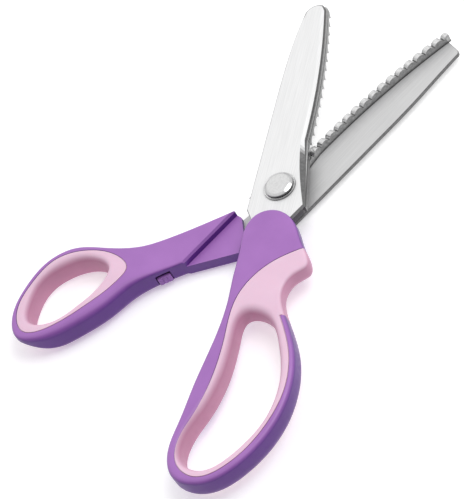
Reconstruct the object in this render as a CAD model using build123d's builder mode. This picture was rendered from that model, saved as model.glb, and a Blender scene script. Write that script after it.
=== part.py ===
from build123d import *
import os
from math import cos, radians, sin, sqrt

# Scalloping pinking shears: two steel blades with toothed bars, a screw pivot, and two plastic
# handles with soft linings. Built in millimetres, +Z up, lying flat and partly open.

# ---- frame: the pivot axis stands at (PIVOT_X, PIVOT_Y), and the blades meet at height PIVOT_Z
PIVOT_X = 15.72
PIVOT_Y = 21.63
PIVOT_Z = 7.95
OPEN_ANGLE = 34.4  # between the centre lines of the two blades

# ---- blades
EDGE_R = 353.0  # the cutting edge is a slightly convex arc
EDGE_X = 6.7  # its widest reach beside the blade's centre line
EDGE_Y = 27.0  # how far from the pivot that widest reach is
HEEL_Y = 24.0  # where the cutting edge ends and the ricasso begins
TIP_R = 94.5  # pivot to the last whole tooth
TOOTH_PITCH = 4.88
TOOTH_DEPTH = 2.0
TOOTH_COUNT = 15
SHEAR_GAP = 0.1  # each toothed face stands this far from the middle surface
PLATE_IN = 3.4  # middle plane to the inner face of a blade plate
PLATE_T = 1.8
PLATE_OUT = PLATE_IN + PLATE_T
BACK_X = 12.3  # centre line to the blade's back edge
SETBACK = 1.1  # plate edge behind the cutting edge
PLATE_CHAMFER = 0.35
BAR_W = 2.5  # plan width of a toothed bar
PAD_R = 9.0
PAD_GAP = 0.3  # middle plane to each pivot pad

# ---- pivot hardware
BORE_R = 3.0
SHANK_R = 2.95
CAP_R = 6.4
CAP_TOP_R = 4.3
CAP_RIM = 0.7
CAP_H = 1.9
HEAD_WASHER_R = 7.0
HEAD_WASHER_T = 0.7
SPACER_R = 6.2
BACK_WASHER_R = 6.0
BACK_WASHER_T = 0.5
NUT_ACROSS = 8.0
NUT_H = 2.2
END_PLAY = 0.05

# ---- handles, heights from the middle plane
HANDLE_OUT = 6.8  # outer face of a handle
NECK_IN = 2.2  # how far the thick part of a neck reaches past the middle plane
LOOP_IN = 5.2  # the same for a loop
SLOPE_Y = (-50.0, -74.0)  # between these the neck thickens into the loop
FINGER_LAP = 0.2  # halved underside of the finger neck, below the middle plane
THUMB_LAP = 1.2  # halved top of the thumb neck, below the middle plane
EDGE_ROUND = 2.6
NECK_X = -10.2  # inner side of the finger neck
STEP_X = -11.2  # step where the thumb neck is halved
INSERT_L = 6.0  # small block in the thumb handle's inner wall: its length along the wall,
INSERT_IN = 2.2  # how deep it sits,
INSERT_PROUD = 0.5  # how far it stands out
INSERT_H = 4.6
INSERT_Z = -6.0
INSERT_AT = (-16.4, -57.6)
INSERT_TURN = 61.2


def arm_plane(angle, height):
    turn = radians(angle)
    origin = (PIVOT_X, PIVOT_Y, PIVOT_Z + height)
    return Plane(origin=origin, x_dir=(cos(turn), sin(turn), 0), z_dir=(0, 0, 1))


def finger_arm(height=0.0):
    """Plane of the upper blade and finger handle: X across, Y from the pivot to the tip."""
    return arm_plane(OPEN_ANGLE / 2, height)


def thumb_arm(height=0.0):
    return arm_plane(-OPEN_ANGLE / 2, height)


def edge_x(y, inset=0.0):
    """X of the cutting edge, or of a line inset from it, at a distance y along the blade."""
    return EDGE_X - EDGE_R + sqrt((EDGE_R - inset) ** 2 - (y - EDGE_Y) ** 2)


def flip(side, points):
    return [(side * x, y) for x, y in points]


# ---- plans, drawn with the pivot at the origin and the blade along +Y
def blade_plan(side, nose, tang):
    """Blade plate; side is 1 for the upper blade and -1 for the lower, nose is the arc round its
    tip, and tang is the part of its outline inside the handle, from the back edge to the ricasso."""
    edge = flip(side, [(edge_x(y, SETBACK), y) for y in (HEEL_Y, 60, 96.4)])
    back_start = (-side * BACK_X, 60)
    back_end = (-side * BACK_X, -11)
    ricasso = flip(side, [(8.8, -15.2), (12.7, -9.6)])
    with BuildSketch() as plan:
        with BuildLine():
            ThreePointArc(*edge)
            Line(edge[2], nose[0])
            ThreePointArc(*nose)
            Spline(nose[2], back_start, tangents=((-side * 0.18, -1), (0, -1)))
            Polyline(back_start, back_end, *tang, *ricasso, edge[0])
        make_face()
        Circle(BORE_R, mode=Mode.SUBTRACT)
    return plan.sketch


UPPER_NOSE = [(-2.2, 97.2), (-7.3, 96.5), (-9.6, 92.2)]
LOWER_NOSE = [(9.2, 94.9), (10.3, 94.1), (10.6, 92.6)]
UPPER_TANG = [(-8.2, -17.5), (-8.2, -44), (-2.8, -44), (2.5, -24)]
LOWER_TANG = [(3.0, -25), (-10.5, -44), (-15.5, -41), (-9.8, -22)]

with BuildSketch() as bar_plan:
    bar_end = 97.3
    outer = [(edge_x(y), y) for y in (HEEL_Y, 60, bar_end)]
    inner = [(edge_x(y, BAR_W), y) for y in (bar_end, 60, HEEL_Y)]
    with BuildLine():
        ThreePointArc(*outer)
        Line(outer[2], inner[0])
        ThreePointArc(*inner)
        Polyline(inner[2], (2, 10), (0, PAD_R))
        ThreePointArc((0, PAD_R), (-PAD_R, 0), (0, -PAD_R))
        Polyline((0, -PAD_R), (10.4, -8.6), (12.7, -9.6), outer[0])
    make_face()
    fillet(bar_plan.vertices().group_by(Axis.Y)[-1].sort_by(Axis.X)[-1], radius=1.8)
    Circle(BORE_R, mode=Mode.SUBTRACT)

with BuildSketch() as finger_plan:
    back = [
        (NECK_X, -56), (-11.5, -76), (-15.0, -96), (-17.1, -112), (-18.5, -126), (-13.5, -137),
        (-1.5, -140), (13.5, -131), (24.0, -114.5), (27.4, -97), (24.6, -79.5), (16.8, -63),
        (13.4, -52), (16.6, -44.8), (21.2, -41.2),
    ]
    arch = [(21.2, -41.2), (16.9, -29.8), (10.8, -18.6), (0.5, -12.2), (-7.2, -14.6), (NECK_X, -20)]
    with BuildLine():
        Line(arch[-1], back[0])
        Spline(*back, tangents=((0, -1), (0.9, 0.45)))
        Spline(*arch, tangents=((0.1, 1), (0, -1)))
    make_face()

with BuildSketch() as finger_hole:
    hole = [
        (-3.6, -72), (-4.2, -90), (-8.2, -105.5), (-13.0, -117.6), (-11.8, -129.2), (-3.0, -133.2),
        (9.5, -125.2), (18.6, -111), (20.9, -94), (16.4, -76), (7.0, -63), (-1.6, -62.2),
    ]
    with BuildLine():
        Spline(*hole, periodic=True)
    make_face()

with BuildSketch() as finger_soft:
    edge = [
        (17.2, -32.5), (8.4, -36.8), (-0.4, -44.6), (-5.4, -55), (-5.9, -74), (-6.6, -91),
        (-10.8, -107.5), (-14.9, -120.6), (-13.2, -131.2), (-3.8, -137.4), (9.6, -131.2), (20.4, -116),
        (25.2, -99), (22.9, -80.5), (15.6, -64.5),
    ]
    with BuildLine():
        Spline(*edge)
        Polyline(edge[-1], (34, -58), (34, -26), edge[0])
    make_face()

with BuildSketch() as thumb_plan:
    back = [
        (-12.0, -49.6), (-18.0, -60.5), (-21.6, -70.5), (-23.4, -83), (-27.4, -96), (-34.2, -109),
        (-45.0, -116.4), (-55.4, -111), (-62.4, -97), (-63.8, -83.5), (-58.0, -71.0), (-46.8, -62.8),
        (-35.6, -54.2), (-26.4, -42.6), (-11.6, -18.4),
    ]
    with BuildLine():
        Spline(*back, tangents=((-0.62, -1), (0.5, 0.85)))
        Polyline(back[-1], (-8.6, -18.2), (-2.2, -22.8), (3.8, -31.2), back[0])
    make_face()

with BuildSketch() as thumb_hole:
    hole = [
        (-33.4, -77), (-34.1, -90.4), (-39.2, -103.4), (-47.2, -107.6), (-54.4, -101.2), (-58.4, -89.8),
        (-54.6, -77.8), (-45.2, -69.9), (-37.4, -69.8),
    ]
    with BuildLine():
        Spline(*hole, periodic=True)
    make_face()

with BuildSketch() as thumb_soft:
    edge = [
        (-27.6, -74), (-31.0, -88.5), (-36.2, -103.4), (-44.8, -112.8), (-54.2, -107.6), (-60.4, -93.5),
        (-59.8, -79.5), (-51.0, -69.2), (-38.6, -63.0), (-29.0, -65.4),
    ]
    with BuildLine():
        Spline(*edge, periodic=True)
    make_face()


def tooth_profile(offset):
    """Half section of the space beyond a toothed face, about the pivot axis; offset moves it."""
    half = TOOTH_DEPTH / 2
    roots = [TIP_R + TOOTH_PITCH * (1 - k) for k in range(TOOTH_COUNT + 2)]
    start = roots[-1] - 0.6
    far, pad_z = (-12, PAD_GAP) if offset > 0 else (12, -PAD_GAP - END_PLAY)
    with BuildSketch() as profile:
        with BuildLine():
            Polyline((0, far), (0, pad_z), (start, pad_z), (roots[-1], offset - half))
            for outer_r, inner_r in zip(roots, roots[1:]):
                crest = ((outer_r + inner_r) / 2, offset + half)
                ThreePointArc((inner_r, offset - half), crest, (outer_r, offset - half))
            Polyline((roots[0], offset - half), (roots[0], far), (0, far))
        make_face()
    return profile.sketch


pivot_section = Plane(origin=(PIVOT_X, PIVOT_Y, PIVOT_Z), x_dir=(1, 0, 0), z_dir=(0, -1, 0))
pivot_axis = Axis((PIVOT_X, PIVOT_Y, PIVOT_Z), (0, 0, 1))
os.makedirs("parts", exist_ok=True)


# ---- blades and toothed bars
with BuildPart() as upper_blade:
    with BuildSketch(finger_arm(PLATE_IN)):
        add(blade_plan(1, UPPER_NOSE, UPPER_TANG))
    extrude(amount=PLATE_T)
    chamfer(upper_blade.faces().sort_by(Axis.Z)[-1].outer_wire().edges(), length=PLATE_CHAMFER)

with BuildPart() as upper_tooth_bar:
    with BuildSketch(finger_arm(-TOOTH_DEPTH)):
        add(bar_plan.sketch)
    extrude(amount=TOOTH_DEPTH + PLATE_IN)
    with BuildSketch(pivot_section):
        add(tooth_profile(SHEAR_GAP))
    revolve(axis=pivot_axis, mode=Mode.SUBTRACT)

with BuildPart() as lower_blade:
    with BuildSketch(thumb_arm(-PLATE_OUT)):
        add(blade_plan(-1, LOWER_NOSE, LOWER_TANG))
    extrude(amount=PLATE_T)
    chamfer(lower_blade.faces().sort_by(Axis.Z)[0].outer_wire().edges(), length=PLATE_CHAMFER)

with BuildPart() as lower_tooth_bar:
    with BuildSketch(thumb_arm(-PLATE_IN)):
        mirror(bar_plan.sketch, about=Plane.YZ)
    extrude(amount=TOOTH_DEPTH + PLATE_IN)
    with BuildSketch(pivot_section):
        add(tooth_profile(-SHEAR_GAP))
    revolve(axis=pivot_axis, mode=Mode.SUBTRACT)


# ---- pivot hardware, from the cap down to the nut
cap_z = PLATE_OUT + HEAD_WASHER_T
nut_z = -PLATE_OUT - END_PLAY - BACK_WASHER_T - NUT_H
with BuildPart() as pivot_screw:
    with BuildSketch(pivot_section):
        with BuildLine():
            Polyline((SHANK_R, nut_z), (SHANK_R, cap_z), (CAP_R, cap_z), (CAP_R, cap_z + CAP_RIM))
            shoulder = [(CAP_R, cap_z + CAP_RIM), (5.8, cap_z + 1.45), (CAP_TOP_R, cap_z + CAP_H)]
            ThreePointArc(*shoulder)
            Polyline(shoulder[2], (0, cap_z + CAP_H), (0, nut_z), (SHANK_R, nut_z))
        make_face()
    revolve(axis=pivot_axis)

with BuildPart() as head_washer:
    with BuildSketch(finger_arm(PLATE_OUT)):
        Circle(HEAD_WASHER_R)
        Circle(BORE_R, mode=Mode.SUBTRACT)
    extrude(amount=HEAD_WASHER_T)
    chamfer(head_washer.faces().sort_by(Axis.Z)[-1].outer_wire().edges(), length=0.2)

with BuildPart() as spacer_washer:
    with BuildSketch(finger_arm(-PAD_GAP)):
        Circle(SPACER_R)
        Circle(BORE_R, mode=Mode.SUBTRACT)
    extrude(amount=2 * PAD_GAP)

with BuildPart() as back_washer:
    with BuildSketch(finger_arm(nut_z + NUT_H)):
        Circle(BACK_WASHER_R)
        Circle(BORE_R, mode=Mode.SUBTRACT)
    extrude(amount=BACK_WASHER_T)

with BuildPart() as lock_nut:
    with BuildSketch(finger_arm(nut_z)):
        RegularPolygon(radius=NUT_ACROSS / 2, side_count=6, major_radius=False)
        Circle(SHANK_R, mode=Mode.SUBTRACT)
    extrude(amount=NUT_H)
    chamfer(lock_nut.faces().sort_by(Axis.Z)[0].outer_wire().edges(), length=0.3)


# ---- handle blanks: the full outline with its rounded edges, before it is shared between the
# hard core and the soft lining
def slope_cut(side):
    """Side view of what is taken off the inner face of a neck; side is -1 for finger, 1 for thumb."""
    corners = [(20, 20), (20, NECK_IN), (SLOPE_Y[0], NECK_IN), (SLOPE_Y[1], LOOP_IN), (SLOPE_Y[1], 20)]
    with BuildSketch() as profile:
        with BuildLine():
            Polyline([(y, side * z) for y, z in corners], close=True)
        make_face()
    return profile.sketch


def side_view(arm):
    """Plane across an arm: local X runs along the arm and local Y is up."""
    return Plane(origin=arm.origin, x_dir=arm.y_dir, z_dir=arm.x_dir)


with BuildPart() as finger_blank:
    with BuildSketch(finger_arm(-LOOP_IN)):
        add(finger_plan.sketch)
    extrude(amount=LOOP_IN + HANDLE_OUT)
    fillet(finger_blank.faces().filter_by(Axis.Z).edges(), radius=EDGE_ROUND)
    with BuildSketch(side_view(finger_arm())):
        add(slope_cut(-1))
    extrude(amount=80, both=True, mode=Mode.SUBTRACT)
    with BuildSketch(finger_arm(-FINGER_LAP)):
        Polygon((-20, -60.5), (20, -13.9), (20, 0), (-20, 0), align=None)
    extrude(amount=-20, mode=Mode.SUBTRACT)

with BuildPart() as thumb_blank:
    with BuildSketch(thumb_arm(-HANDLE_OUT)):
        add(thumb_plan.sketch)
    extrude(amount=LOOP_IN + HANDLE_OUT)
    rims = thumb_blank.faces().filter_by(Axis.Z).edges()
    fillet(rims.filter_by(GeomType.BSPLINE), radius=EDGE_ROUND)
    with BuildSketch(side_view(thumb_arm())):
        add(slope_cut(1))
    extrude(amount=80, both=True, mode=Mode.SUBTRACT)
    with BuildSketch(thumb_arm(-THUMB_LAP)):
        Polygon((STEP_X, -60), (20, -60), (20, 0), (STEP_X, 0), align=None)
    extrude(amount=20, mode=Mode.SUBTRACT)


# ---- handles
with BuildPart() as finger_handle:
    add(finger_blank.part)
    with BuildSketch(finger_arm()):
        add(finger_soft.sketch)
    extrude(amount=20, both=True, mode=Mode.SUBTRACT)
    add(upper_blade.part, mode=Mode.SUBTRACT)

with BuildPart() as finger_grip:
    add(finger_blank.part)
    with BuildSketch(finger_arm()):
        add(finger_soft.sketch)
    extrude(amount=20, both=True, mode=Mode.INTERSECT)
    with BuildSketch(finger_arm()):
        add(finger_hole.sketch)
    extrude(amount=20, both=True, mode=Mode.SUBTRACT)

with BuildPart() as thumb_handle:
    add(thumb_blank.part)
    with BuildSketch(thumb_arm()):
        add(thumb_soft.sketch)
    extrude(amount=20, both=True, mode=Mode.SUBTRACT)
    add(lower_blade.part, mode=Mode.SUBTRACT)
    with BuildSketch(thumb_arm(INSERT_Z)):
        with Locations(Location(INSERT_AT, INSERT_TURN)):
            Rectangle(INSERT_L + 0.8, 2 * INSERT_IN)
    extrude(amount=INSERT_H + 0.8, mode=Mode.SUBTRACT)

with BuildPart() as thumb_insert:
    with BuildSketch(thumb_arm(INSERT_Z)):
        with Locations(Location(INSERT_AT, INSERT_TURN)):
            with Locations((0, (INSERT_IN - INSERT_PROUD) / 2)):
                Rectangle(INSERT_L, INSERT_IN + INSERT_PROUD)
    extrude(amount=INSERT_H)
    fillet(thumb_insert.edges().filter_by(Axis.Z), radius=0.5)

with BuildPart() as thumb_grip:
    add(thumb_blank.part)
    with BuildSketch(thumb_arm()):
        add(thumb_soft.sketch)
    extrude(amount=20, both=True, mode=Mode.INTERSECT)
    with BuildSketch(thumb_arm()):
        add(thumb_hole.sketch)
    extrude(amount=20, both=True, mode=Mode.SUBTRACT)


# ---- every piece as its own file
pieces = {
    "upper_blade": upper_blade,
    "upper_tooth_bar": upper_tooth_bar,
    "lower_blade": lower_blade,
    "lower_tooth_bar": lower_tooth_bar,
    "pivot_screw": pivot_screw,
    "head_washer": head_washer,
    "spacer_washer": spacer_washer,
    "back_washer": back_washer,
    "lock_nut": lock_nut,
    "finger_handle": finger_handle,
    "finger_grip": finger_grip,
    "thumb_handle": thumb_handle,
    "thumb_grip": thumb_grip,
    "thumb_insert": thumb_insert,
}
for name, piece in pieces.items():
    piece.part.label = name
    export_step(piece.part, f"parts/{name}.step")
    box = piece.part.bounding_box()
    print(name, len(piece.part.solids()), piece.part.is_valid, round(piece.part.volume, 1), box)
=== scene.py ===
import math

import bmesh
import bpy
import numpy as np
from mathutils import Matrix, Vector
from mathutils.geometry import delaunay_2d_cdt

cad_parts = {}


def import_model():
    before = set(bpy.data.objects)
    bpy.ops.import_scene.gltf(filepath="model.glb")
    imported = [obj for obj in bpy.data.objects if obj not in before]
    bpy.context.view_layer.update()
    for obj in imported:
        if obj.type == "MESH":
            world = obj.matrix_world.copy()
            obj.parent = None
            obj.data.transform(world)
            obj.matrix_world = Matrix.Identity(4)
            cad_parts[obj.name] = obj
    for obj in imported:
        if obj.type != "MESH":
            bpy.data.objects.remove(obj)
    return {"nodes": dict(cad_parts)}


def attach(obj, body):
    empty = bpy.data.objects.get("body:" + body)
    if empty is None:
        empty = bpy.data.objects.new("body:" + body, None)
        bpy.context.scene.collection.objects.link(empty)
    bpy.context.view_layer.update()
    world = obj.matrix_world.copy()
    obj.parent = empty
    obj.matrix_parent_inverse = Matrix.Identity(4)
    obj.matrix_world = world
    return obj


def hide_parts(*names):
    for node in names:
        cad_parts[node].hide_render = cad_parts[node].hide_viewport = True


# Scalloping shears lying open on a pale studio floor. Lengths are millimetres until mesh() or mm().
MM = 0.001
PIVOT = (15.72, 21.63, 7.95)
HALF_OPEN = 17.2  # degrees that each arm is turned from the row frame's Y

# In an arm's own frame, the pivot's middle is the origin and the blade runs along +Y.
# Undersides and tops of the steel plates, and the radius of their holes for the screw
UPPER_PLATE = (3.4, 5.2)
LOWER_PLATE = (-5.2, -3.4)
PLATE_BORE = 3.0

# Handles: where the loop begins along Y and over what length, and each one's heights
LOOP_START, LOOP_REACH = -50, 24
FINGER_TOP = 6.8
FINGER_UNDERSIDE, FINGER_DROP = -2.2, 2.6
THUMB_TOP, THUMB_STEP = 2.2, 3.0
THUMB_UNDERSIDE, THUMB_END_RISE = -6.8, 7.2

# Laps: the finger handle's neck has nothing below its lap, the thumb handle's nothing above. A
# slanting lip runs along the thumb's lap between two heights.
FINGER_LAP = -0.2
THUMB_LAP = -1.2
THUMB_LIP = (1.3, 3.1)
FAR = 20  # past the handles on every side

# The insert in the thumb handle's neck, and its turn in degrees
INSERT_AT = (-16.4, -57.6)
INSERT_TURN = 61.2


def mm(*values):
    """A vector in metres from millimetres."""
    return Vector([v * MM for v in values])


def arm_matrix(side):
    """From an arm's own frame, pivot at the origin and blade along +Y, to the row frame in metres."""
    turn = Matrix.Rotation(math.radians(side * HALF_OPEN), 4, "Z")
    return Matrix.Translation(mm(*PIVOT)) @ turn @ Matrix.Scale(MM, 4)


FINGER = arm_matrix(1)
THUMB = arm_matrix(-1)

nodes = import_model()["nodes"]
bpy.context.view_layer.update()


# ---- materials
def new_material(name):
    """A node material, its tree and its shader."""
    material = bpy.data.materials.new(name)
    material.use_nodes = True
    tree = material.node_tree
    return material, tree, tree.nodes["Principled BSDF"]


def set_socket(shader, **values):
    """Set shader sockets by name, with underscores for spaces."""
    for name, value in values.items():
        shader.inputs[name.replace("_", " ")].default_value = value


def local_coordinates(tree, turn=0.0, scale=(1, 1, 1)):
    """Object coordinates, turned about Z so that local Y runs along an arm, in metres times scale."""
    coordinates = tree.nodes.new("ShaderNodeTexCoord")
    rotate = tree.nodes.new("ShaderNodeVectorRotate")
    rotate.rotation_type = "Z_AXIS"
    rotate.inputs["Angle"].default_value = math.radians(-turn)
    rotate.inputs["Center"].default_value = mm(*PIVOT)
    mapping = tree.nodes.new("ShaderNodeMapping")
    mapping.inputs["Scale"].default_value = scale
    tree.links.new(coordinates.outputs["Object"], rotate.inputs["Vector"])
    tree.links.new(rotate.outputs["Vector"], mapping.inputs["Vector"])
    return mapping.outputs["Vector"]


def noise(tree, vector, scale, detail=4.0, roughness=0.5):
    """Cloudy noise between 0 and 1."""
    node = tree.nodes.new("ShaderNodeTexNoise")
    node.inputs["Scale"].default_value = scale
    node.inputs["Detail"].default_value = detail
    node.inputs["Roughness"].default_value = roughness
    tree.links.new(vector, node.inputs["Vector"])
    return node.outputs["Fac"]


def ramp(tree, value, low, high, start=0.3, end=0.7):
    """A ramp between two colours or greys, from start to end of the value."""
    node = tree.nodes.new("ShaderNodeValToRGB")
    for element, place, shade_of in zip(node.color_ramp.elements, (start, end), (low, high)):
        element.position = place
        element.color = (*shade_of, 1) if hasattr(shade_of, "__len__") else (shade_of,) * 3 + (1,)
    tree.links.new(value, node.inputs["Fac"])
    return node.outputs["Color"]


def bump(tree, shader, height, strength, distance):
    """Relief on a shader from a height."""
    node = tree.nodes.new("ShaderNodeBump")
    node.inputs["Strength"].default_value = strength
    node.inputs["Distance"].default_value = distance
    tree.links.new(height, node.inputs["Height"])
    tree.links.new(node.outputs["Normal"], shader.inputs["Normal"])


def moulded(name, low, high, shaded_wall, roughness, grain, sheen=0.0, subsurface=0.0):
    """Moulded plastic or soft overmould: mottled colour, fine grain and an uneven gloss. Steep faces
    take a darker, deeper colour as painted shade, and level faces a lighter one that holds painted sheen."""
    material, tree, shader = new_material(name)
    vector = local_coordinates(tree)
    mottle = noise(tree, vector, 70, 3)
    # painted light: steep faces get the darker colour as painted shade, level faces the lighter one as
    # painted sheen
    side = ramp(tree, mottle, [0.95 * v for v in shaded_wall], [1.05 * v for v in shaded_wall])
    level = ramp(tree, mottle, low, high)
    colour = blend_colours(tree, upward(tree, 0.25, 0.85, "Normal"), side, level)
    tree.links.new(colour, shader.inputs["Base Color"])
    gloss = ramp(tree, noise(tree, vector, 400, 3), roughness - 0.05, roughness + 0.07)
    tree.links.new(gloss, shader.inputs["Roughness"])
    bump(tree, shader, noise(tree, vector, 2600, 2), grain, 0.00004)
    set_socket(shader, IOR=1.48, Sheen_Weight=sheen, Sheen_Roughness=0.4, Subsurface_Weight=subsurface)
    if subsurface:
        set_socket(shader, Subsurface_Radius=(0.004, 0.0016, 0.002), Subsurface_Scale=0.4)
    return material


def height_mask(tree, vector, middle, low, high):
    """A mask that is 0 where a vector's Z is within low of the middle and 1 where it is past high."""
    axes = tree.nodes.new("ShaderNodeSeparateXYZ")
    offset = tree.nodes.new("ShaderNodeMath")
    offset.operation = "SUBTRACT"
    offset.inputs[1].default_value = middle
    size = tree.nodes.new("ShaderNodeMath")
    size.operation = "ABSOLUTE"
    mask = tree.nodes.new("ShaderNodeMapRange")
    mask.inputs["From Min"].default_value = low
    mask.inputs["From Max"].default_value = high
    tree.links.new(vector, axes.inputs["Vector"])
    tree.links.new(axes.outputs["Z"], offset.inputs[0])
    tree.links.new(offset.outputs["Value"], size.inputs[0])
    tree.links.new(size.outputs["Value"], mask.inputs["Value"])
    return mask.outputs["Result"]


def upward(tree, low, high, normal="True Normal"):
    """A mask that is 0 on steep faces and 1 on level ones."""
    geometry = tree.nodes.new("ShaderNodeNewGeometry")
    return height_mask(tree, geometry.outputs[normal], 0, low, high)


def away_from_height(tree, height, reach):
    """A mask that is 0 at a height, in metres, and 1 from reach above or below it."""
    place = tree.nodes.new("ShaderNodeTexCoord")
    return height_mask(tree, place.outputs["Object"], height, 0, reach)


def blend_colours(tree, factor, first, second):
    """The first colour where the factor is 0 and the second where it is 1."""
    node = tree.nodes.new("ShaderNodeMix")
    node.data_type = "RGBA"
    tree.links.new(factor, node.inputs["Factor"])
    tree.links.new(first, node.inputs[6])
    tree.links.new(second, node.inputs[7])
    return node.outputs[2]


# How far the painted seam shade reaches from the seam
SEAM_REACH = 1.6 * MM
# Scratches per metre across and along an arm, and in height
LENGTHWISE = (3000, 50, 900)
ALL_ROUND = (900, 900, 900)
FINE = (1500, 1500, 1500)
CLOUDS = (60, 18, 40)


def steel(name, turn, face, steep_shade, roughness, scratches, level=(0.2, 0.6), metallic=1.0, wear=0.12,
          seam=None):
    """Steel with scratches along one arm and a cloudy gloss. face is the grey of level faces; steep faces
    get a rougher mottle and a darker grey, which is painted shade. level gives the tilts, as normal Z,
    between which a steep face turns into a level one. Steep faces are painted near black within SEAM_REACH
    of a seam at the given height in metres, painted shade where two parts meet."""
    material, tree, shader = new_material(name)
    fine = noise(tree, local_coordinates(tree, turn, scratches), 1.0, 5, 0.6)
    cloudy = noise(tree, local_coordinates(tree, turn, CLOUDS), 1.0, 3)
    polished = ramp(tree, fine, *face, 0.35, 0.65)
    rough = noise(tree, local_coordinates(tree, turn, ALL_ROUND), 1.0, 4, 0.7)
    # painted shade: steep faces take the darker grey
    side = ramp(tree, rough, steep_shade * 0.75, steep_shade * 1.25, 0.35, 0.65)
    # painted shade: steep faces near the seam are near black, the shadow where tooth bar and plate meet
    if seam:
        seam_shade = ramp(tree, rough, 0.01, 0.03, 0.35, 0.65)
        side = blend_colours(tree, away_from_height(tree, seam, SEAM_REACH), seam_shade, side)
    tree.links.new(blend_colours(tree, upward(tree, *level), side, polished), shader.inputs["Base Color"])
    tree.links.new(ramp(tree, cloudy, roughness - 0.04, roughness + 0.05), shader.inputs["Roughness"])
    bump(tree, shader, fine, wear, 0.00003)
    set_socket(shader, Metallic=metallic)
    return material


# The wall colours are painted shade on steep faces; the level colours, low to high, are lightened as
# painted sheen.
purple = moulded("purple_plastic", low=(0.34, 0.137, 0.455), high=(0.38, 0.158, 0.50),
                 shaded_wall=(0.105, 0.018, 0.235), roughness=0.36, grain=0.10)
pink = moulded("pink_soft", low=(0.76, 0.51, 0.65), high=(0.80, 0.55, 0.69),
               shaded_wall=(0.56, 0.26, 0.40), roughness=0.50, grain=0.14, sheen=0.1, subsurface=0.1)
insert_purple = moulded("purple_insert", low=(0.33, 0.15, 0.45), high=(0.38, 0.18, 0.50),
                        shaded_wall=(0.27, 0.10, 0.40), roughness=0.36, grain=0.12)
# Steep faces of every steel are painted darker as painted shade. The lower blade's face grey, darker than
# the upper blade's, and the upper tooth bar's, darker than the lower's, are painted shade on the same
# steel.
blade_upper = steel("blade_steel_upper", HALF_OPEN, face=(0.77, 0.85), steep_shade=0.16, roughness=0.38,
                    scratches=LENGTHWISE, level=(0.86, 0.945), metallic=0.4)
blade_lower = steel("blade_steel_lower", -HALF_OPEN, face=(0.55, 0.63), steep_shade=0.15, roughness=0.40,
                    scratches=LENGTHWISE, level=(0.75, 0.93), metallic=0.3)
teeth_upper = steel("tooth_steel_upper", HALF_OPEN, face=(0.42, 0.52), steep_shade=0.30, roughness=0.34,
                    scratches=ALL_ROUND, seam=(PIVOT[2] + UPPER_PLATE[0]) * MM)
teeth_lower = steel("tooth_steel_lower", -HALF_OPEN, face=(0.66, 0.80), steep_shade=0.38, roughness=0.24,
                    scratches=ALL_ROUND, seam=(PIVOT[2] + LOWER_PLATE[1]) * MM)
# The chrome's dark steep faces are a painted dark reflection.
chrome = steel("bright_chrome", 0, face=(0.66, 0.73), steep_shade=0.12, roughness=0.13,
               scratches=FINE, level=(0.3, 0.62), wear=0.05)
washer_steel = steel("washer_steel", 0, face=(0.58, 0.70), steep_shade=0.45, roughness=0.32,
                     scratches=ALL_ROUND)


def paint(obj, material):
    """Give an object one material."""
    obj.data.materials.clear()
    obj.data.materials.append(material)


for node, material in {
    "upper_tooth_bar": teeth_upper,
    "lower_tooth_bar": teeth_lower,
    "head_washer": chrome,
    "spacer_washer": washer_steel,
    "back_washer": washer_steel,
    "lock_nut": washer_steel,
}.items():
    paint(nodes[node], material)


# ---- curves and meshes
def natural_spline(points, closed):
    """Cubic spline through points with chord-length knots; returns a function of the point index."""
    p = np.array(points, float)
    if closed:
        p = np.vstack([p, p[:1]])
    n = len(p)
    t = np.concatenate([[0], np.cumsum(np.hypot(*np.diff(p, axis=0).T))])
    h = np.diff(t)
    a = np.zeros((n, n))
    b = np.zeros((n, 2))
    slope = np.diff(p, axis=0) / h[:, None]
    for i in range(1, n - 1):
        a[i, i - 1 : i + 2] = h[i - 1], 2 * (h[i - 1] + h[i]), h[i]
        b[i] = 6 * (slope[i] - slope[i - 1])
    if closed:
        a[0, [0, 1, n - 2, n - 1]] = 2 * h[0], h[0], h[-1], 2 * h[-1]
        b[0] = 6 * (slope[0] - slope[-1])
        a[n - 1, [0, n - 1]] = 1, -1
    else:
        a[0, 0] = a[n - 1, n - 1] = 1
    second = np.linalg.solve(a, b)

    def at(index):
        """Points of the curve at one or more point indices."""
        index = np.asarray(index, float) % (n - 1) if closed else np.asarray(index, float)
        k = np.clip(index.astype(int), 0, n - 2)
        f = (index - k)[..., None]
        step = h[k][..., None]
        curve = second[k] * ((1 - f) ** 3 - (1 - f)) + second[k + 1] * (f**3 - f)
        return p[k] * (1 - f) + p[k + 1] * f + curve * step**2 / 6

    return at


def mesh(name, verts, faces, matrix, crease=32):
    """A smooth mesh object from points in an arm's frame, with edges sharp above an angle."""
    data = bpy.data.meshes.new(name)
    data.from_pydata([tuple(v) for v in verts], [], faces)
    data.transform(matrix)
    data.update()
    obj = bpy.data.objects.new(name, data)
    bpy.context.scene.collection.objects.link(obj)
    obj["crease"] = crease
    fix_normals(obj)
    return obj


def finished(obj, material, body, node):
    """Give a piece its material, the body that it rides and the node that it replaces."""
    paint(obj, material)
    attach(obj, body)
    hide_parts(node)


def fix_normals(obj):
    """Turn all faces outward and shade the mesh."""
    work = bmesh.new()
    work.from_mesh(obj.data)
    bmesh.ops.recalc_face_normals(work, faces=work.faces)
    work.to_mesh(obj.data)
    work.free()
    shade(obj)


def shade(obj):
    """Smooth shading, except at edges above the object's crease angle."""
    obj.data.polygons.foreach_set("use_smooth", [True] * len(obj.data.polygons))
    obj.data.set_sharp_from_angle(angle=math.radians(obj["crease"]))


def ring(outline, height):
    """An outline's points at one height, or each at its own."""
    return np.column_stack([outline, np.broadcast_to(height, len(outline))])


def band(start, n):
    """Quads from the n vertices after start to the next n."""
    return [(start + i, start + (i + 1) % n, start + n + (i + 1) % n, start + n + i) for i in range(n)]


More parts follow.
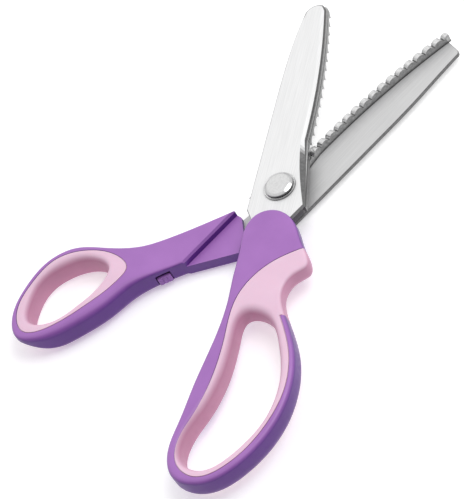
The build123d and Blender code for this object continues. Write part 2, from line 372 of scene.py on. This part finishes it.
def stacked(name, rings, matrix, crease=32):
    """A closed solid through rings of equally many points, the first and the last ones filled."""
    n, last = len(rings[0]), (len(rings) - 1) * len(rings[0])
    faces = [tuple(range(n))[::-1], tuple(range(last, last + n))]
    for start in range(0, last, n):
        faces += band(start, n)
    return mesh(name, np.concatenate(rings), faces, matrix, crease)


def prism(name, outline, low, high, matrix, flare=0.0):
    """A closed prism between two heights, used as a cutter; flare moves its top toward -X."""
    outline = np.array(outline, float)
    return stacked(name, [ring(outline, low), ring(outline - (flare, 0), high)], matrix)


def boolean(obj, cutter, operation):
    """Cut an object by another, or keep what they share."""
    modifier = obj.modifiers.new("cut", "BOOLEAN")
    modifier.operation = operation
    modifier.solver = "EXACT"
    modifier.object = cutter
    apply_modifiers(obj)


def apply_modifiers(obj):
    """Replace an object's mesh by its modified one."""
    evaluated = obj.evaluated_get(bpy.context.evaluated_depsgraph_get())
    data = bpy.data.meshes.new_from_object(evaluated)
    obj.modifiers.clear()
    obj.data = data
    shade(obj)


def discard(*objs):
    """Remove the objects that were only cutters or blanks."""
    for obj in objs:
        bpy.data.objects.remove(obj)


def copy(obj, name):
    """A second object with its own mesh."""
    twin = bpy.data.objects.new(name, obj.data.copy())
    twin["crease"] = obj["crease"]
    bpy.context.scene.collection.objects.link(twin)
    return twin


def distance(points, curve):
    """Distance from each point to a closed polyline."""
    ab = np.roll(curve, -1, axis=0) - curve
    result = np.empty(len(points))
    for i, p in enumerate(points):
        f = np.clip(((p - curve) * ab).sum(1) / (ab**2).sum(1), 0, 1)
        result[i] = np.hypot(*(curve + ab * f[:, None] - p).T).min()
    return result


def smooth_step(x):
    """0 up to 0, 1 from 1 on, and an S-curve between."""
    x = np.clip(x, 0, 1)
    return x * x * (3 - 2 * x)


def inward_normals(xy, limit=0.5):
    """Inward directions of a closed outline, lengthened at corners so that offsets stay parallel."""
    ahead, behind = np.roll(xy, -1, axis=0) - xy, xy - np.roll(xy, 1, axis=0)
    ahead /= np.hypot(*ahead.T)[:, None]
    behind /= np.hypot(*behind.T)[:, None]
    normal = np.column_stack([-(ahead + behind)[:, 1], (ahead + behind)[:, 0]])
    normal /= np.hypot(*normal.T)[:, None]
    spread = 1 / np.clip((normal * np.column_stack([-ahead[:, 1], ahead[:, 0]])).sum(1), limit, 1)
    area = (xy[:, 0] * np.roll(xy[:, 1], -1) - xy[:, 1] * np.roll(xy[:, 0], -1)).sum()
    return normal * spread[:, None] * (1 if area > 0 else -1)


def sampled(curve, count, step=1.3):
    """Point indices about step apart along a closed curve, with every whole index among them."""
    gaps = np.hypot(*np.diff(curve(np.arange(count + 1.0)), axis=0).T)
    counts = [max(2, round(gap / step)) for gap in gaps]
    return np.concatenate([np.linspace(k, k + 1, n, endpoint=False) for k, n in enumerate(counts)])


def inside(points, outline):
    """Which points lie within a closed outline."""
    x, y = points[:, :1], points[:, 1:]
    ax, ay = outline.T
    bx, by = np.roll(outline, -1, axis=0).T
    with np.errstate(divide="ignore", invalid="ignore"):
        crossing = ((ay > y) != (by > y)) & (x < (bx - ax) * (y - ay) / (by - ay) + ax)
    return crossing.sum(1) % 2 == 1


def level_faces(outer, inner, step=2.2, clearance=0.7):
    """Triangles between two outlines, with a grid of extra points clear of both; returns the grid and
    the triangles as indices into outer, inner and grid together."""
    columns, rows = (np.arange(low, high, step) for low, high in zip(outer.min(0), outer.max(0)))
    grid = np.array([(x, y) for x in columns for y in rows])
    grid = grid[inside(grid, outer) & ~inside(grid, inner)]
    grid = grid[np.minimum(distance(grid, outer), distance(grid, inner)) > clearance]
    points = np.concatenate([outer, inner, grid])
    n, m = len(outer), len(inner)
    edges = [(i, (i + 1) % n) for i in range(n)] + [(n + i, n + (i + 1) % m) for i in range(m)]
    _, _, faces, origin, _, _ = delaunay_2d_cdt([Vector(p) for p in points], edges, [], 0, 1e-6)
    faces = np.array([[origin[v][0] for v in face] for face in faces])
    centres = points[faces].mean(1)
    return grid, faces[inside(centres, outer) & ~inside(centres, inner)]


RINGS = 8  # outlines in a rounded edge, from the wall to the level face
WIDEST_EDGE = 0.46  # of the way from one outline to the other


def half_blank(outlines, level):
    """One face of a loop handle with its rounded edges: vertices and faces. outlines holds points,
    radius across and radius down for the outer outline and for the hole."""
    points, falls, faces, start = [], [], [], 0
    for side, (outline, wide, deep) in enumerate(outlines):
        wide = np.minimum(wide, distance(outline, outlines[1 - side][0]) * WIDEST_EDGE)
        way = inward_normals(outline) * (1, -1)[side]
        n = len(outline)
        for t in np.linspace(0, math.pi / 2, RINGS):
            points.append(outline + way * (wide * (1 - math.cos(t)))[:, None])
            falls.append(deep * (1 - math.sin(t)))
        for k in range(start, start + (RINGS - 1) * n, n):
            faces += band(k, n)
        start += RINGS * n
    outer, inner = points[RINGS - 1], points[2 * RINGS - 1]
    grid, inner_faces = level_faces(outer, inner)
    outer_end = RINGS * len(outer)
    ids = np.concatenate([
        np.arange(outer_end - len(outer), outer_end),
        np.arange(start - len(inner), start),
        np.arange(start, start + len(grid)),
    ])
    points, falls = np.concatenate([*points, grid]), np.concatenate([*falls, np.zeros(len(grid))])
    faces += [tuple(ids[face]) for face in inner_faces]
    return ring(points, level(points, falls)), faces


def handle_blank(name, rim, hole, edges, hole_edges, heights, matrix):
    """A loop handle. rim and hole are its outer and inner outlines as functions of a point index;
    edges and hole_edges give (index, top radius across, down, bottom radius across, down) along
    them, and heights gives the top and bottom at a point."""
    upper, lower = [], []
    for curve, table in ((rim, edges), (hole, hole_edges)):
        index = sampled(curve, table[-1][0])
        keys, *radii = zip(*table)
        radii = [np.interp(index, keys, r) for r in radii]
        upper.append((curve(index), *radii[:2]))
        lower.append((curve(index), *radii[2:]))
    top, top_faces = half_blank(upper, lambda points, falls: heights(points)[0] - falls)
    bottom, bottom_faces = half_blank(lower, lambda points, falls: heights(points)[1] + falls)
    n, m, total = len(upper[0][0]), len(upper[1][0]), len(top)
    faces = top_faces + [tuple(total + v for v in face[::-1]) for face in bottom_faces]
    for first, count in ((0, n), (RINGS * n, m)):
        for i in range(first, first + count):
            j = first + (i + 1 - first) % count
            faces.append((i, total + i, total + j, j))
    return mesh(name, [*top, *bottom], [tuple(int(v) for v in face) for face in faces], matrix)


def toward_loop(points):
    """0 at a handle's neck and 1 from its loop on."""
    return smooth_step((LOOP_START - points[:, 1]) / LOOP_REACH)


# ---- finger handle
def finger_heights(points):
    """The top is level; the underside goes down from the neck to the loop."""
    return np.full(len(points), FINGER_TOP), FINGER_UNDERSIDE - FINGER_DROP * toward_loop(points)


finger_rim = natural_spline(
    [
        (-9.8, -56), (-11.5, -76), (-15.0, -96), (-17.1, -112), (-18.5, -126), (-13.5, -137),
        (-1.5, -140), (13.5, -131), (24.0, -114.5), (27.4, -97), (24.6, -79.5), (16.8, -63),
        (13.4, -52), (16.6, -44.8), (21.2, -41.2), (16.9, -29.8), (10.8, -18.6), (0.5, -12.2),
        (-7.2, -14.6), (-10.2, -20), (-10.2, -32), (-10.2, -44),
    ],
    True,
)
finger_hole = natural_spline(
    [
        (-3.6, -72), (-4.2, -90), (-8.2, -105.5), (-13.0, -117.6), (-11.8, -129.2), (-3.0, -133.2),
        (9.5, -125.2), (18.6, -111), (20.9, -94), (16.4, -76), (7.0, -63), (-1.6, -62.2),
    ],
    True,
)
finger_blank = handle_blank(
    "finger_blank",
    finger_rim,
    finger_hole,
    edges=[
        (0, 1.8, 1.8, 2, 2), (1, 1.8, 1.8, 2.6, 2.6), (3, 2, 2, 3, 3), (5, 2, 2, 4, 5.5), (9, 2, 2, 4, 5.5),
        (10, 2, 2, 3.6, 4.5), (12, 1.6, 1.6, 3, 4), (17, 1.3, 1.3, 2.6, 4.5), (19, 1.3, 1.3, 1.3, 1.3),
        (20, 1.3, 1.3, 1.3, 1.3), (22, 1.8, 1.8, 2, 2),
    ],
    hole_edges=[(0, 3.6, 4, 2.6, 3), (12, 3.6, 4, 2.6, 3)],
    heights=finger_heights,
    matrix=FINGER,
)
finger_soft_line = natural_spline(
    [
        (17.2, -32.5), (8.4, -36.8), (-0.4, -44.6), (-5.7, -55), (-6.5, -74), (-7.2, -91),
        (-10.8, -107.5), (-14.9, -120.6), (-13.2, -131.2), (-3.8, -137.4), (9.6, -131.2), (20.4, -116),
        (25.2, -99), (22.9, -80.5), (15.6, -64.5),
    ],
    False,
)
finger_soft = np.array([*finger_soft_line(np.linspace(0, 14, 141)), (34, -58), (34, -26)])


# ---- thumb handle
thumb_back = natural_spline(
    [
        (-12.0, -49.6), (-18.0, -60.5), (-21.6, -70.5), (-23.4, -83), (-27.4, -96), (-34.2, -109),
        (-45.0, -116.4), (-55.4, -111), (-62.4, -97), (-63.8, -83.5), (-58.0, -71.0), (-46.8, -62.8),
        (-35.6, -54.2), (-26.4, -42.6), (-11.6, -18.4),
    ],
    False,
)
thumb_end = np.array([(-11.6, -18.4), (-8.6, -18.2), (-2.2, -22.8), (3.8, -31.2), (-12.0, -49.6)])


def thumb_rim(index):
    """The back and the loop as a curve up to index 14, then the straight end of the neck."""
    index = np.asarray(index, float)
    straight = np.column_stack([np.interp(index - 14, range(5), thumb_end[:, k]) for k in (0, 1)])
    return np.where((index > 14)[:, None], straight, thumb_back(np.minimum(index, 14)))


thumb_hole = natural_spline(
    [
        (-33.4, -77), (-34.1, -90.4), (-39.2, -103.4), (-47.2, -107.6), (-54.4, -101.2), (-58.4, -89.8),
        (-54.6, -77.8), (-45.2, -69.9), (-37.4, -69.8),
    ],
    True,
)


def thumb_heights(points):
    """The top steps up along the loop; at the far end the underside rises toward the rim."""
    far_end = smooth_step((-32 - points[:, 0]) / 12) * smooth_step((-72 - points[:, 1]) / 22)
    from_hole = distance(points, thumb_hole(np.linspace(0, 9, 90, endpoint=False)))
    rise = THUMB_END_RISE * far_end * np.clip(from_hole / 5, 0, 1)
    return THUMB_TOP + THUMB_STEP * toward_loop(points), THUMB_UNDERSIDE + rise


thumb_blank = handle_blank(
    "thumb_blank",
    thumb_rim,
    thumb_hole,
    edges=[
        (0, 0.9, 0.9, 1.6, 2), (1, 1.5, 1.5, 2.4, 3), (2.2, 3.1, 3.2, 3.2, 4), (4.8, 3.2, 4, 3.6, 3.5),
        (6, 1.4, 1.4, 1.4, 1.4), (9, 1.4, 1.4, 1.4, 1.4), (11, 1.8, 1.8, 2.4, 2.4),
        (13, 1.4, 1.4, 1.4, 1.4), (14, 0.8, 0.8, 0.8, 0.8), (18, 0.9, 0.9, 0.9, 0.9),
    ],
    hole_edges=[
        (0, 1.6, 2, 1.6, 2), (1, 1.6, 2, 1.6, 2), (2.5, 2.4, 3, 1.6, 2), (6, 3.2, 4, 1.6, 2),
        (7.5, 2.8, 3.4, 1.6, 2), (9, 1.6, 2, 1.6, 2),
    ],
    heights=thumb_heights,
    matrix=THUMB,
)
thumb_soft = natural_spline(
    [
        (-27.3, -73.5), (-30.0, -88.1), (-35.0, -103.0), (-44.6, -113.0), (-54.4, -108.8), (-60.8, -94.6),
        (-61.0, -80.8), (-52.6, -69.6), (-39.4, -63.2), (-29.2, -65.2),
    ],
    True,
)(np.linspace(0, 10, 120, endpoint=False))


# ---- laps, where one handle passes over the other
finger_neck = [(-FAR, -60.5), (FAR, -13.9), (FAR, 0), (-FAR, 0)]
finger_lap = prism("finger_lap", finger_neck, -FAR, FINGER_LAP, FINGER)
boolean(finger_blank, finger_lap, "DIFFERENCE")
thumb_neck = [(-11.2, -60), (FAR, -60), (FAR, 0), (-11.2, 0)]
thumb_lap = prism("thumb_lap", thumb_neck, THUMB_LAP, FAR, THUMB)
boolean(thumb_blank, thumb_lap, "DIFFERENCE")
thumb_lip = prism("thumb_lip", thumb_neck, *THUMB_LIP, THUMB, flare=1.6)
boolean(thumb_blank, thumb_lip, "DIFFERENCE")


# ---- ribbed insert in the thumb handle's neck, with its pocket
def turned(points, centre, angle):
    """Points turned about the origin and moved to a centre."""
    c, s = math.cos(math.radians(angle)), math.sin(math.radians(angle))
    return [(centre[0] + c * x - s * y, centre[1] + s * x + c * y) for x, y in points]


pocket_outline = turned([(-3.4, -2.2), (3.4, -2.2), (3.4, 2.2), (-3.4, 2.2)], INSERT_AT, INSERT_TURN)
pocket = prism("pocket", pocket_outline, -5.6, 0.2, THUMB)
boolean(thumb_blank, pocket, "DIFFERENCE")
discard(finger_lap, thumb_lap, thumb_lip, pocket)

ribs = [(3, -1.2), (3, 0.3)]
for middle in (1.8, 0.0, -1.8):
    ribs += [(middle + 0.7, 0.6), (middle - 0.7, 0.6), (middle - 0.9, 0.3)]
block_outline = turned([*ribs[:-1], (-3, 0.3), (-3, -1.2)], INSERT_AT, INSERT_TURN + 180)
block = prism("thumb_insert_block", block_outline, -5.3, -1.5, THUMB)
bevel = block.modifiers.new("round", "BEVEL")
bevel.width = 0.35 * MM
bevel.segments = 3
apply_modifiers(block)
finished(block, insert_purple, "thumb_side", "thumb_insert")


# ---- hard shells and soft linings
def stepped_prism(name, outline, heights, matrix, inset=0.3, depth=0.45):
    """A prism that is narrower near both faces of a handle, so that it leaves a fine groove there."""
    inner = outline + inward_normals(outline) * inset
    top, bottom = heights(outline)
    rings = [
        ring(inner, -FAR),
        ring(inner, bottom + depth),
        ring(outline, bottom + depth),
        ring(outline, top - depth),
        ring(inner, top - depth),
        ring(inner, FAR),
    ]
    return stacked(name, rings, matrix)


def split(blank, soft_outline, heights, matrix, hard_name, soft_name, body):
    """Part a blank into its hard shell and its soft overmould, with a fine groove between them."""
    inlay = stepped_prism("inlay", soft_outline, heights, matrix)
    cutter = prism("soft", soft_outline, -FAR, FAR, matrix)
    soft = copy(blank, soft_name + "_soft")
    hard = copy(blank, hard_name + "_shell")
    boolean(soft, inlay, "INTERSECT")
    boolean(hard, cutter, "DIFFERENCE")
    discard(cutter, inlay, blank)
    finished(soft, pink, body, soft_name)
    finished(hard, purple, body, hard_name)


split(finger_blank, finger_soft, finger_heights, FINGER, "finger_handle", "finger_grip", "finger_side")
split(thumb_blank, thumb_soft, thumb_heights, THUMB, "thumb_handle", "thumb_grip", "thumb_side")


# ---- blades
EDGE_RADIUS = 353  # of the bowed tooth line
EDGE_MIDDLE = (6.7, 27)  # its outermost point
PLATE_INSET = 1.1  # of a plate from its tooth line
EDGE_START, EDGE_END, NOSE_START = 24, 94, 96.4  # along the blade
ROOT = (12.7, -9.6)  # outer corner beside the pivot
BACK = 12.3  # half width at the back


def edge_x(y):
    """How far out a plate's cutting edge is at y."""
    reach = math.sqrt((EDGE_RADIUS - PLATE_INSET) ** 2 - (y - EDGE_MIDDLE[1]) ** 2)
    return EDGE_MIDDLE[0] - EDGE_RADIUS + reach


def arc(a, b, c, count):
    """count points on the circle through three points, from the first to the last."""
    a, b, c = (complex(*p) for p in (a, b, c))
    w = (c - a) / (b - a)
    centre = (b - a) * (w - abs(w) ** 2) / (2j * w.imag) + a
    start, middle, end = (math.atan2((p - centre).imag, (p - centre).real) for p in (a, b, c))
    sweep = (end - start) % math.tau
    if (middle - start) % math.tau > sweep:
        sweep -= math.tau
    radius = abs(a - centre)
    angles = start + sweep * np.linspace(0, 1, count)
    return [(centre.real + radius * math.cos(t), centre.imag + radius * math.sin(t)) for t in angles]


def blade_outline(side, nose, tang, cutting, tip, back, hollow, steepest=0.45):
    """Closed outline of a blade plate as (x, y, bevel width, bevel depth). cutting, tip and back are
    bevel widths, and hollow is the width of the hollow beside the pivot at its widest place."""
    points = [(side * edge_x(y), y, cutting) for y in np.linspace(EDGE_START, EDGE_END, 25)]
    points += [(side * edge_x(NOSE_START), NOSE_START, tip)]
    points += [(x, y, tip) for x, y in arc(*nose, 9)]
    spine = natural_spline([nose[2], (-side * 11.3, 78), (-side * 12.0, 66), (-side * BACK, 54)], False)
    points += [(x, y, back) for x, y in spine(np.linspace(0.25, 3, 12))]
    points += [(-side * BACK, -11, back)] + [(x, y, 0.1) for x, y in tang]
    points += [(side * 8.8, -15.2, back), (side * ROOT[0], ROOT[1], back)]
    points = [(x, y, width, min(width, steepest)) for x, y, width in points]
    # the hollow is steep, and flattens where it runs into the cutting edge's bevel
    for part in np.linspace(0.04, 0.98, 20):
        width = back + (hollow - back) * math.sin(0.76 * math.pi * part)
        depth = width * (0.68 - 0.37 * smooth_step((part - 0.7) / 0.3))
        x = ROOT[0] + (edge_x(EDGE_START) - ROOT[0]) * part
        points.append((side * x, ROOT[1] + (EDGE_START - ROOT[1]) * part, width, depth))
    return np.array(points)


def plate(name, outline, heights, matrix, material, body, node):
    """A plate with the outline's bevel on top, a small one below and a hole for the screw."""
    xy, (low, high), small = outline[:, :2], heights, 0.2
    inward = inward_normals(xy)
    rings = [
        ring(xy + inward * small, low),
        ring(xy, low + small),
        ring(xy, high - outline[:, 3]),
        ring(xy + inward * outline[:, 2:3], high),
    ]
    obj = stacked(name, rings, matrix, crease=11)
    turns = np.linspace(0, math.tau, 64, endpoint=False)
    circle = [(PLATE_BORE * math.cos(t), PLATE_BORE * math.sin(t)) for t in turns]
    drill = prism("drill", circle, low - 1, high + 1, matrix)
    boolean(obj, drill, "DIFFERENCE")
    discard(drill)
    finished(obj, material, body, node)


upper_outline = blade_outline(
    side=1,
    nose=[(-2.2, 97.2), (-7.3, 96.5), (-9.6, 92.2)],
    tang=[(-8.2, -17.5), (-8.2, -44), (-2.8, -44), (2.5, -24)],
    cutting=1.45,
    tip=0.7,
    back=0.35,
    hollow=1.95,
)
lower_outline = blade_outline(
    side=-1,
    nose=[(9.2, 94.9), (10.3, 94.1), (10.6, 92.6)],
    tang=[(3.0, -25), (-10.5, -44), (-15.5, -41), (-9.8, -22)],
    cutting=0.45,
    tip=0.25,
    back=0.3,
    hollow=0.2,
)
plate("upper_blade_plate", upper_outline, UPPER_PLATE, FINGER, blade_upper, "finger_side", "upper_blade")
plate("lower_blade_plate", lower_outline, LOWER_PLATE, THUMB, blade_lower, "thumb_side", "lower_blade")


# ---- pivot screw
def lathe(name, profile, matrix, turns=96):
    """A solid of revolution about the pivot from (radius, height) points, the ends on the axis."""
    verts, faces = [(0, 0, profile[0][1]), (0, 0, profile[-1][1])], []
    angles = np.linspace(0, math.tau, turns, endpoint=False)
    for r, z in profile[1:-1]:
        verts += [(r * math.cos(t), r * math.sin(t), z) for t in angles]
    rows = len(profile) - 2
    for i in range(turns):
        j = (i + 1) % turns
        faces.append((0, 2 + j, 2 + i))
        faces.append((1, 2 + (rows - 1) * turns + i, 2 + (rows - 1) * turns + j))
        for k in range(rows - 1):
            a, b = 2 + k * turns, 2 + (k + 1) * turns
            faces.append((a + i, a + j, b + j, b + i))
    return mesh(name, verts, faces, matrix, crease=24)


shank = [(0, -7.95), (2.6, -7.95), (2.95, -7.6), (2.95, 5.9)]
cap_rim = [(5.9, 5.9), (5.9, 6.1), (6.25, 6.12)]
cap_shoulder = natural_spline([(6.4, 6.3), (6.32, 6.72), (5.7, 7.22), (4.9, 7.62), (4.2, 7.76)], False)
screw_profile = [*shank, *cap_rim, *cap_shoulder(np.linspace(0, 4, 17)), (0, 7.76)]
screw = lathe("pivot_screw_body", screw_profile, FINGER)
finished(screw, chrome, "finger_side", "pivot_screw")


# ---- floor, light and camera
FLOOR = 3000  # half its width
floor_material, _, floor_shader = new_material("studio_floor")
set_socket(floor_shader, Base_Color=(0.85, 0.85, 0.85, 1), Roughness=0.9, Emission_Color=(1, 1, 1, 1),
           Emission_Strength=0.32)
floor = mesh("floor", [(-FLOOR, -FLOOR, 0), (FLOOR, -FLOOR, 0), (FLOOR, FLOOR, 0), (-FLOOR, FLOOR, 0)],
             [(0, 1, 2, 3)], Matrix.Scale(MM, 4))
paint(floor, floor_material)


def studio_world(bright_side, strength):
    """Grey studio surroundings that turn white toward one direction."""
    world = bpy.data.worlds.new("studio")
    world.use_nodes = True
    sky = world.node_tree
    direction = sky.nodes.new("ShaderNodeTexCoord")
    toward = sky.nodes.new("ShaderNodeVectorMath")
    toward.operation = "DOT_PRODUCT"
    toward.inputs[1].default_value = Vector(bright_side).normalized()
    half = sky.nodes.new("ShaderNodeMath")
    half.operation = "MULTIPLY_ADD"
    half.inputs[1].default_value = 0.5
    half.inputs[2].default_value = 0.5
    shades = sky.nodes.new("ShaderNodeValToRGB")
    dark, white = shades.color_ramp.elements
    dark.position, dark.color = 0.42, (0.10, 0.10, 0.11, 1)
    white.position, white.color = 0.95, (1, 1, 1, 1)
    shades.color_ramp.elements.new(0.72).color = (0.55, 0.55, 0.56, 1)
    background = sky.nodes["Background"]
    background.inputs["Strength"].default_value = strength
    sky.links.new(direction.outputs["Generated"], toward.inputs[0])
    sky.links.new(toward.outputs["Value"], half.inputs[0])
    sky.links.new(half.outputs["Value"], shades.inputs["Fac"])
    sky.links.new(shades.outputs["Color"], background.inputs["Color"])
    bpy.context.scene.world = world


def area_light(name, azimuth, elevation, distance, size, power):
    """A round lamp aimed at the pivot, with angles in degrees, lengths in metres and watts."""
    a, e = math.radians(azimuth), math.radians(elevation)
    back = Vector((math.sin(a) * math.cos(e), -math.cos(a) * math.cos(e), math.sin(e)))
    light = bpy.data.lights.new(name, "AREA")
    light.shape = "DISK"
    light.size = size
    light.energy = power
    obj = bpy.data.objects.new(name, light)
    obj.location = mm(*PIVOT) + back * distance
    obj.rotation_mode = "QUATERNION"
    obj.rotation_quaternion = (-back).to_track_quat("-Z", "Y")
    bpy.context.scene.collection.objects.link(obj)


studio_world(bright_side=(-0.42, 0.28, 0.86), strength=1.04)
area_light("key", azimuth=130, elevation=60, distance=0.9, size=0.7, power=3.9)

# Where the camera looks, its distance in metres, and its heading, tilt and roll in degrees
CAMERA_TARGET = (7.23, -9.16, 7.95)
CAMERA_DISTANCE = 1
HEADING, TILT, ROLL = 56.27, 42.99, -33.0
camera_data = bpy.data.cameras.new("camera")
camera_data.lens = 177.2
camera_data.clip_end = 10
camera = bpy.data.objects.new("camera", camera_data)
bpy.context.scene.collection.objects.link(camera)
turn = (
    Matrix.Rotation(math.radians(HEADING), 4, "Z")
    @ Matrix.Rotation(math.radians(TILT), 4, "X")
    @ Matrix.Rotation(math.radians(ROLL), 4, "Z")
)
pull_back = Matrix.Translation((0, 0, CAMERA_DISTANCE))
camera.matrix_world = Matrix.Translation(mm(*CAMERA_TARGET)) @ turn @ pull_back
bpy.context.scene.camera = camera
bpy.context.scene.view_settings.view_transform = "Standard"
